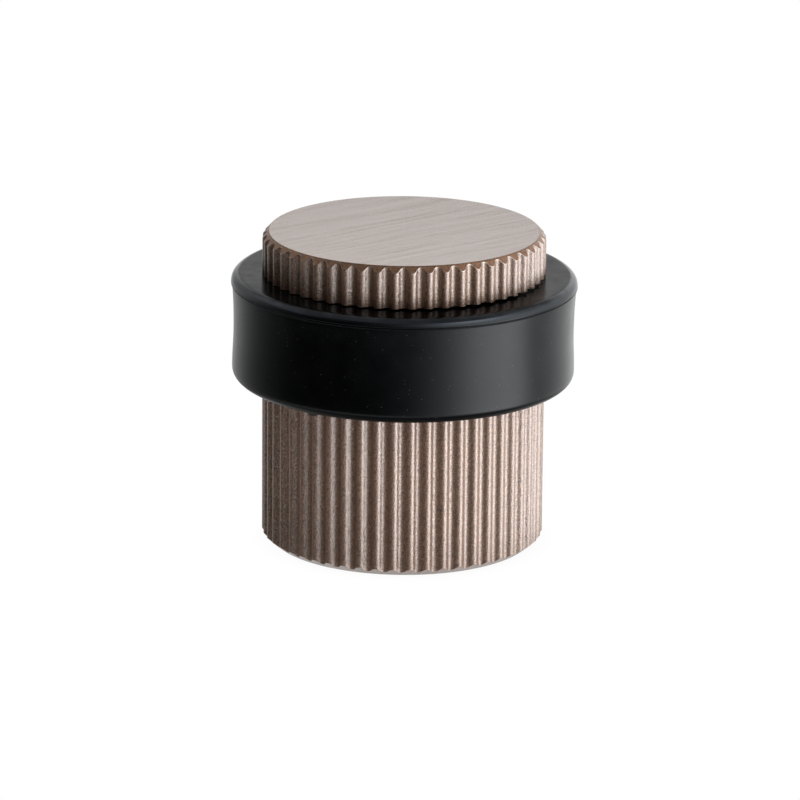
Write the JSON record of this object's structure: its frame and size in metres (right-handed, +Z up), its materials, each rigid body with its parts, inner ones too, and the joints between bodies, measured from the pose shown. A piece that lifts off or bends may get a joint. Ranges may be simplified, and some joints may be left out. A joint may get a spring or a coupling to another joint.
{
  "type": "floor door stop",
  "caption": "Floor-fixed round door buffer: fluted metal body with a chamfered flat top and a rubber ring seated in its neck groove, screwed onto a double-ended bolt in a floor plug.",
  "frame": {"origin": "on the stop's axis at the nose of the floor plug; the floor surface that the body rests on is the plane z = 34 mm", "axes": "+Z up along the axis of the bolt and the body, -Y the front"},
  "size_m": [0.044, 0.044, 0.0744],
  "materials": {
    "bronze_body": "antique bronze finish on brass, satin fluted sides, top face brushed in one direction",
    "black_rubber": "black moulded rubber, low satin sheen",
    "zinc_steel": "bright zinc-plated steel",
    "grey_nylon": "grey moulded nylon"
  },
  "bodies": {
    "floor_fixing": {"hanger_bolt": "zinc_steel", "floor_plug": "grey_nylon"},
    "ring": {"buffer_ring": "black_rubber"},
    "body": {"stop_body": "bronze_body"}
  },
  "joints": [
    {"name": "stop_lift", "type": "slide", "parent": "floor_fixing", "child": "ring", "axis": [0, 0, 1], "range_m": [0, 0.01125]},
    {"name": "stop_screw", "type": "hinge", "parent": "ring", "child": "body", "pos_m": [0, 0, 0.034], "axis": [0, 0, 1], "range_deg": [0, 3240]}
  ],
  "couplings": [
    {"joint": "stop_lift", "follows": "stop_screw", "m_per_rad": 0.00019894}
  ]
}
